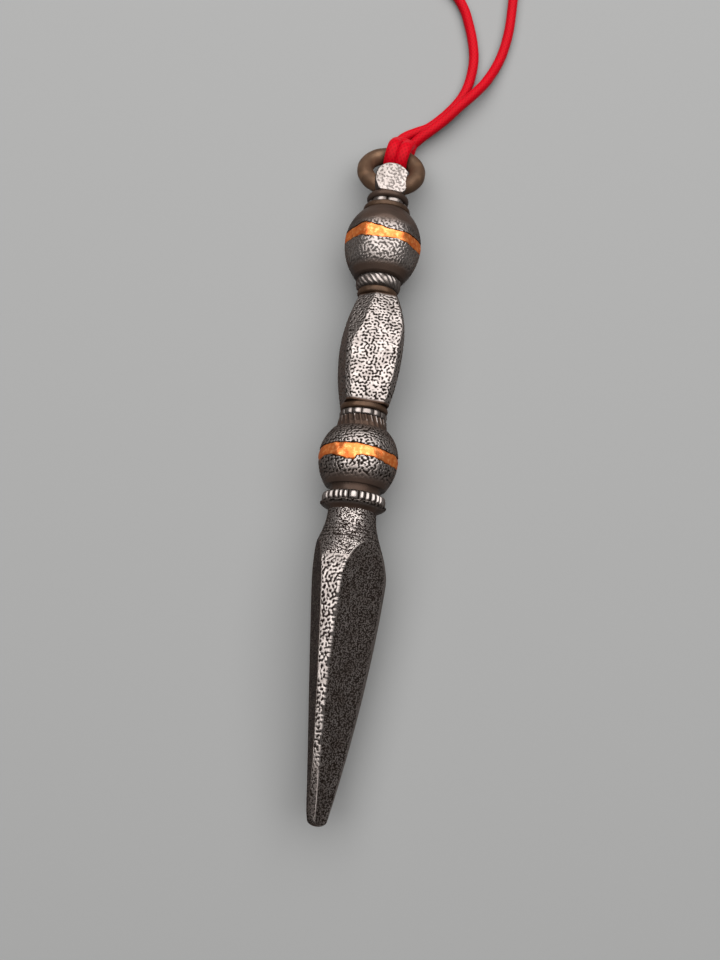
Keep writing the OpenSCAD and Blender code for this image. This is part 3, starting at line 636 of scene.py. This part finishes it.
upperShape = dict(cols=420, rows=(76, 70), foot=3.5, widest=5.4, head=3.3, footRun=5.2, headRun=4.7, flats=6,
                  flat=4.95, roll=2, edge=0.06, groove=0.4, cell=0.42, level=0.15, depth=0.045, smoothFoot=(0.5, 1.4),
                  smoothHead=(6.3, 7.6), rubFoot=(0.6, 2.0), rubHead=(5.5, 7.4), contrast=0.8, ripple=0.035,
                  lowEdge=[(-110, -0.75), (-60, -0.55), (-36, -0.7), (-28, -1.05), (0, -1.08), (20, -1.0), (30, -1.2),
                           (60, -1.1), (110, -0.8)],
                  highEdge=[(-110, 0.9), (-50, 1.2), (-29, 1.25), (-24, 1.05), (-8, 0.72), (8, 0.42), (28, 0.2),
                            (44, 0.45), (70, 0.7), (110, 0.8)])
knobRub = dict(least=0.06, gain=0.88)
bandShape = dict(rows=22, gap=0.025, proud=0.015, rounding=0.1, roundPower=8, dentCell=1.4, dentLimit=1.8, dent=0.026,
                 seat=0.16, rim=(0.86, 1), rimShade=0.6, spotCell=1.1, spots=(1.3, 2.2), spotTone=0.35)


def bandEdges(shape, angle):
    # Edge distances from the foot, straight between the given turns, with a small ripple
    edges = []
    for side, corners in ((-1, shape["lowEdge"]), (1, shape["highEdge"])):
        turns, distances = np.array(corners).T
        ripple = np.cos(11 * angle + side) + 0.8 * np.cos(23 * angle + 2 * side) + 0.6 * np.cos(41 * angle + 3)
        edge = np.interp(np.degrees(angle), turns, distances, period=360)
        edges.append(shape["footRun"] + edge + shape["ripple"] * ripple / 2)
    return edges


def knobRadius(shape, t, angle):
    r = swellRadius(t, shape)
    if not shape["flats"]:
        return r + 0 * angle
    step = fullTurn / shape["flats"]
    off = (angle - math.radians(shape["roll"]) + step / 2) % step - step / 2
    return softLeast([r + 0 * angle, shape["flat"] / np.cos(off) + 0 * r], shape["edge"])


def knob(name, node, shape):
    start, end, _ = span(node)
    angle = angles(shape["cols"])[None, :]
    low, high = bandEdges(shape, angle)
    under = np.linspace(0, 1, shape["rows"][0])[:, None] * low
    over = high + np.linspace(0, 1, shape["rows"][1])[:, None] * (end - start - high)
    t = np.concatenate([under, low, high, over])
    r = knobRadius(shape, t, angle)
    belt = slice(shape["rows"][0], shape["rows"][0] + 2)
    r[belt] -= shape["groove"]
    amount = between(t, shape["smoothFoot"], shape["smoothHead"])
    amount[belt] = 0
    grid, pit = etched(turned(start + t, r, angle), shape, amount)
    rub = knobRub["least"] + knobRub["gain"] * between(t, shape["rubFoot"], shape["rubHead"])
    rub[belt] = 0
    piece = boredMesh(name, grid, start, end, angle, pit=shape["contrast"] * pit, rub=rub)
    hand(piece, iron, "etched_iron", bodyOf["stack"], node)


def copperBand(name, node, knobNode, shape, band):
    # Follows the knob's surface between the two edges, with rounded edges and soft dents
    start = span(knobNode)[0]
    angle = angles(shape["cols"])[None, :]
    low, high = bandEdges(shape, angle)
    s = np.linspace(0, 1, band["rows"])[:, None]
    across = np.abs(2 * s - 1)
    t = low + band["gap"] + s * (high - low - 2 * band["gap"])
    r = knobRadius(shape, t, angle) + band["proud"] - band["rounding"] * across ** band["roundPower"]
    grid = turned(start + t, r, angle)
    dents = np.clip(maze(grid, band["dentCell"]), -band["dentLimit"], band["dentLimit"])
    grid = grid - (band["dent"] * (band["dentLimit"] - dents))[..., None] * outwards(grid)
    inner = turned(start + t[[0, -1]], r[[0, -1]] - shape["groove"] + band["seat"], angle)
    spots = band["spotTone"] * smooth(maze(grid, band["spotCell"]), *band["spots"])
    # the band's rims are darkened: painted shade where the band meets the knob; the spots are random darker patches
    pit = band["rimShade"] * smooth(across, *band["rim"]) + spots
    piece = closedMesh(name, inner[:1], grid, inner[1:], pit=pit)
    hand(piece, copper, "copper", bodyOf["stack"], node)


knob("lower_etched_knob", "lower_knob", lowerShape)
copperBand("lower_band", "lower_copper_band", "lower_knob", lowerShape, bandShape)
knob("upper_etched_knob", "upper_knob", upperShape)
copperBand("upper_band", "upper_copper_band", "upper_knob", upperShape, bandShape)


# Skirt: a cone whose slanting ridges stand between wide round flutes
skirtShape = dict(cols=480, rows=30, hem=3.5, top=3.25, flutes=26, slant=18, depth=0.22, ridgePower=1.5,
                  hemFade=(0, 0.12), topRise=(0.35, 0.6), low=0.4, wornCell=2.0, worn=(-1.2, 0.8), crest=(0.6, 0.95),
                  rub=0.04, rubGain=0.8, pitTone=0.5)


def flutedSkirt(shape):
    start, end, _ = span("fluted_skirt")
    angle = angles(shape["cols"])[None, :]
    s = np.linspace(0, 1, shape["rows"])[:, None]
    base = shape["hem"] + (shape["top"] - shape["hem"]) * s
    turn = angle + math.tan(math.radians(shape["slant"])) * s * (end - start) / shape["hem"]
    ridge = (0.5 + 0.5 * np.cos(shape["flutes"] * turn)) ** shape["ridgePower"]
    upper = smooth(s, *shape["topRise"])
    fade = smooth(s, *shape["hemFade"]) * (shape["low"] + (1 - shape["low"]) * upper)
    grid = turned(start + s * (end - start), base - shape["depth"] * (1 - ridge) * fade, angle)
    worn = smooth(maze(grid, shape["wornCell"]), *shape["worn"])
    rub = shape["rub"] + shape["rubGain"] * worn * smooth(ridge, *shape["crest"]) * upper
    pit = shape["pitTone"] * (1 - ridge) * fade
    piece = boredMesh("slanted_flute_skirt", grid, start, end, angle, pit=pit, rub=rub)
    hand(piece, iron, "dark_iron", bodyOf["stack"], "fluted_skirt")


flutedSkirt(skirtShape)


# Small rings: half round outside, with notches between beads and soft hammer dents where a ring has them
smallRings = {
    "bead_ring": dict(name="bead_ring_bright", beads=14, shift=10, notch=0.2, dent=0, rub=0.9, slot="etched_iron"),
    "plain_ring": dict(name="brown_ring", beads=0, dent=0.03, rub=0.05, slot="dark_iron"),
    "grip_ring": dict(name="brown_grip_ring", beads=0, dent=0.03, rub=0.06, slot="dark_iron"),
    "hammered_collar": dict(name="hammered_ring", beads=22, shift=0, notch=0.16, lean=0.5, dent=0.05, rub=0.9,
                            slot="etched_iron"),
    "shoulder_cap": dict(name="brown_shoulder", beads=0, dent=0.03, rub=0.04, slot="dark_iron"),
    "neck_collar": dict(name="bright_neck", beads=6, shift=30, notch=0.3, dent=0.03, rub=0.9, slot="etched_iron")}
ringForm = dict(cols=240, rows=22, roundPower=2.6, gapPower=1.3, dentCell=1.15, fadePower=4, notchPatinaAndShade=(0.4, 0.9),
                spots=(0.9, 2), spotTone=0.5, sideRub=0.35, vary=0.2)


def smallRing(node, shape, form):
    start, end, widest = span(node)
    angle = angles(form["cols"])[None, :]
    s = np.linspace(0, 1, form["rows"])[:, None]
    across = np.abs(2 * s - 1)
    half = (end - start) / 2
    r = widest - half + half * (1 - across ** form["roundPower"]) ** (1 / form["roundPower"])
    gap = 0 * angle
    if shape["beads"]:
        warp = angle - math.radians(shape["shift"]) + 0.03 * np.cos(3 * angle + 1) + 0.02 * np.cos(8 * angle)
        lean = shape.get("lean", 0) * (s - 0.5)
        gap = (1 - np.abs(np.cos(shape["beads"] / 2 * (warp + lean)))) ** form["gapPower"]
        r = r - shape["notch"] * gap
    grid = turned(start + s * (end - start), r, angle)
    dents = maze(grid, form["dentCell"])
    fade = 1 - across ** form["fadePower"]
    grid = grid - (shape["dent"] * fade * (0.6 + 0.4 * dents))[..., None] * outwards(grid)
    bright = shape["slot"] == "etched_iron"
    # the notches between beads are darker: patina there, and painted shade; the spots from the dents are random
    pit = np.maximum(smooth(gap, *form["notchPatinaAndShade"]), bright * form["spotTone"] * smooth(dents, *form["spots"]))
    rub = shape["rub"] * (form["sideRub"] + (1 - form["sideRub"]) * fade)
    rub = rub * (1 - form["vary"] + form["vary"] * np.clip(-dents, -1, 1))
    piece = boredMesh(shape["name"], grid, start, end, angle, pit=pit, rub=rub)
    hand(piece, iron if bright else patina, shape["slot"], bodyOf["stack"], node)


for node, shape in smallRings.items():
    smallRing(node, shape, ringForm)


# Grip: four swelling flats with chamfered corners
gripShape = dict(cols=330, rows=280, foot=3.0, widest=3.93, head=2.5, footRun=8.2, headRun=7.8, roll=10, edge=0.05,
                 grazing=0.2, far=99, cell=0.43, level=0.36, depth=0.05, ends=(0.1, 0.5), rub=0.95, rise=(7.0, 12.0),
                 chamfers=[(0.9, 0.35), (0.9, 0.9), (0.9, 0.9), (0.65, 1.95)])  # below and above, from the right round


def gripBarrel(shape):
    start, end, _ = span("grip_barrel")
    angle = angles(shape["cols"])[None, :]
    t = np.linspace(0, end - start, shape["rows"])[:, None]
    flat = swellRadius(t, shape)
    choices = []
    for k in range(8):
        turn = np.cos(angle - math.radians(shape["roll"] + 45 * k))
        away = flat
        if k % 2:
            below, above = shape["chamfers"][k // 2]
            away = (2 * flat - below - (above - below) * smooth(t, *shape["rise"])) / math.sqrt(2)
        reach = away / np.maximum(turn, shape["grazing"])
        choices.append(np.where(turn > shape["grazing"], reach, shape["far"]))
    r = softLeast(choices, shape["edge"])
    amount = smooth(np.minimum(t, end - start - t), *shape["ends"])
    grid, pit = etched(turned(start + t, r, angle), shape, amount)
    piece = boredMesh("swelling_grip", grid, start, end, angle, pit=pit, rub=shape["rub"] * amount)
    hand(piece, iron, "etched_iron", bodyOf["stack"], "grip_barrel")


gripBarrel(gripShape)


# Pommel: a flange and stem carry a drum, pierced across for the ring
lugShape = dict(cols=160, brimRows=18, faceRows=50, rimRows=8, sideRows=40, holeRows=93, flange=3.0, flangeRun=1.0,
                stem=2.3, stemStart=0.1, stemShort=0.2, socket=0.6, drum=2.45, square=2.15, half=2.5, rim=0.2, roll=8,
                innermost=0.02, cell=0.46, level=0.3, depth=0.035, hole=1.61, holeHalf=4.6, flareCentre=3.45,
                flare=2.54, faceClear=0.05, pitTone=0.5, rub=0.05, rubGain=0.77)


def applied(target, cutter, operation):  # joins or cuts two closed meshes and drops the second
    step = target.modifiers.new("shape", "BOOLEAN")
    step.operation = operation
    step.object = cutter
    step.solver = "EXACT"
    bpy.context.view_layer.update()
    result = bpy.data.meshes.new_from_object(target.evaluated_get(bpy.context.evaluated_depsgraph_get()))
    target.modifiers.clear()
    target.data = result
    bpy.data.objects.remove(cutter)


def pommelLug(shape):
    start, centre = span("pommel_lug")[0], hingePoint[1]
    half, rim, hole = shape["half"], shape["rim"], shape["holeHalf"]
    angle = angles(shape["cols"])[None, :]
    # Flange with the socket under it, and stem
    thick = shape["flangeRun"] / 2
    bulge = np.linspace(-math.pi / 2, math.pi / 2, shape["brimRows"])
    brim = np.stack([thick + thick * np.sin(bulge), shape["flange"] - thick + thick * np.cos(bulge)], -1)
    profile = np.concatenate([[(shape["socket"], bore), (0, bore)], brim])
    poles = ((0, start + shape["socket"], axisHeight), (0, start + 2 * thick, axisHeight))
    flange = gridMesh("pommel_flange", turned(start + profile[:, :1], profile[:, 1:], angle), poles=poles)
    stemEnds = np.array([[start + shape["socket"] + shape["stemStart"]], [centre - shape["stemShort"]]])
    poles = ((0, stemEnds[0, 0], axisHeight), (0, stemEnds[1, 0], axisHeight))
    lug = gridMesh("pierced_pommel", turned(stemEnds, shape["stem"], angle), poles=poles)
    # Drum: rows run out over the top face, round its rim, down the side and in over the lower face
    power = shape["square"]
    across = shape["drum"] / (np.abs(np.cos(angle)) ** power + np.abs(np.sin(angle)) ** power) ** (1 / power)
    faces = np.linspace(shape["innermost"], 1, shape["faceRows"])
    bend = np.linspace(0, math.pi / 2, shape["rimRows"])[1:]
    side = np.linspace(half - rim, rim - half, shape["sideRows"])[1:-1]
    share = np.concatenate([faces, 0 * bend + 1, 0 * side + 1, 0 * bend + 1, faces[::-1]])[:, None]
    edge = np.concatenate([0 * faces, np.sin(bend), 0 * side + 1, np.sin(bend[::-1]), 0 * faces])[:, None]
    drop = rim * (1 - np.cos(bend))
    height = np.concatenate([0 * faces + half, half - drop, side, drop[::-1] - half, 0 * faces - half])[:, None]
    radius = share * (across - rim) + rim * edge
    roll = math.radians(shape["roll"])
    up = np.array([math.sin(roll), 0, math.cos(roll)])
    right = np.array([math.cos(roll), 0, -math.sin(roll)])
    middle = np.array([0, centre, axisHeight])
    drum = (middle + height[..., None] * up + (radius * np.cos(angle))[..., None] * right
            + (radius * np.sin(angle))[..., None] * np.array([0, -1, 0]))
    drum, _ = etched(drum, shape, smooth(np.abs(height), half - 2 * rim, half - rim) + 0 * angle)
    head = gridMesh("pommel_drum", drum, poles=(middle + half * up, middle - half * up))
    # Hole that flares towards both ends, so that the ring can swing in it
    x = np.linspace(-hole, hole, shape["holeRows"])[:, None]
    bell = shape["flareCentre"] - np.sqrt(np.clip(shape["flare"] ** 2 - x ** 2, 0, None))
    wide = np.maximum(shape["hole"], bell)
    sweep = np.stack(np.broadcast_arrays(x, centre + wide * np.sin(angle), axisHeight + wide * np.cos(angle)), -1)
    cutter = gridMesh("ring_room", sweep[::-1], poles=((hole, centre, axisHeight), (-hole, centre, axisHeight)))
    applied(lug, head, "UNION")
    applied(lug, cutter, "DIFFERENCE")
    applied(lug, flange, "UNION")
    points = np.empty(3 * len(lug.data.vertices), np.float32)
    lug.data.vertices.foreach_get("co", points)
    points = points.reshape(-1, 3) / mm
    onFace = smooth(np.abs((points - middle) @ up), half - 2 * rim, half - rim)
    onFace *= points[:, 1] > start + 2 * thick + shape["faceClear"]
    marks = {"pit": shape["pitTone"] * pitted(points, shape) * onFace, "rub": shape["rub"] + shape["rubGain"] * onFace}
    for mark, values in marks.items():
        field = lug.data.attributes.new(mark, "FLOAT", "POINT")
        field.data.foreach_set("value", values.astype(np.float32))
    hand(lug, iron, "etched_iron", bodyOf["stack"], "pommel_lug", sharp=45)


pommelLug(lugShape)


# Suspension ring: a round bar bent into a ring, brown and softly hammered
def suspensionRing(shape):
    a, b = angles(shape["around"])[:, None], angles(shape["sides"])[None, :]
    out = shape["mean"] + shape["bar"] * np.cos(b)
    flat = np.stack(np.broadcast_arrays(out * np.sin(a), out * np.cos(a), shape["bar"] * np.sin(b)), -1)
    grid = onRing(flat)
    dents = maze(grid, shape["dentCell"])
    normal = np.cross(np.roll(grid, -1, 1) - np.roll(grid, 1, 1), np.roll(grid, -1, 0) - np.roll(grid, 1, 0))
    normal /= np.linalg.norm(normal, axis=-1, keepdims=True)
    grid = grid - (shape["dent"] * (1 + 0.5 * dents))[..., None] * normal
    pit = shape["pitTone"] * smooth(-dents, 0.8, 2)
    rub = shape["rub"] + shape["rubGain"] * smooth(dents, 0.2, 1.8)
    piece = gridMesh("loose_ring", grid, loop=True, marks={"pit": pit, "rub": rub})
    hand(piece, patina, "dark_iron", bodyOf["loose"], "suspension_ring", sharp=50)


suspensionRing(ringShape)


# Floor and light: pale ground and a broad soft panel overhead
stageSet = dict(floor=0.9, tone=(0.125, 0.125, 0.1235), roughness=0.8, gloss=0.2, panelHeight=0.42, panelWidth=1.0,
                panelDepth=1.0, panelOffset=0.3, power=18.4, world=0.03)


def stage(shape):
    mesh = bpy.data.meshes.new("floor")
    half = shape["floor"]
    mesh.from_pydata([(-half, -half, 0), (half, -half, 0), (half, half, 0), (-half, half, 0)], [], [(0, 1, 2, 3)])
    floor = bpy.data.objects.new("floor", mesh)
    bpy.context.collection.objects.link(floor)
    material, tree, shader = startMaterial("paleFloor")
    setSockets(tree, shader, {"Base Color": shape["tone"], "Roughness": shape["roughness"],
                              "Specular IOR Level": shape["gloss"]})
    mesh.materials.append(material)
    world = bpy.data.worlds.new("studio")
    world.use_nodes = True
    setSockets(world.node_tree, world.node_tree.nodes["Background"], {"Color": (1, 1, 1), "Strength": shape["world"]})
    bpy.context.scene.world = world
    light = bpy.data.lights.new("overheadPanel", "AREA")
    light.shape = "RECTANGLE"
    light.size, light.size_y = shape["panelWidth"], shape["panelDepth"]
    light.energy = shape["power"]
    lamp = bpy.data.objects.new("overheadPanel", light)
    lamp.location = (0, shape["panelOffset"], shape["panelHeight"])
    bpy.context.collection.objects.link(lamp)


stage(stageSet)
bpy.context.scene.view_settings.view_transform = "Standard"
print("stage set")
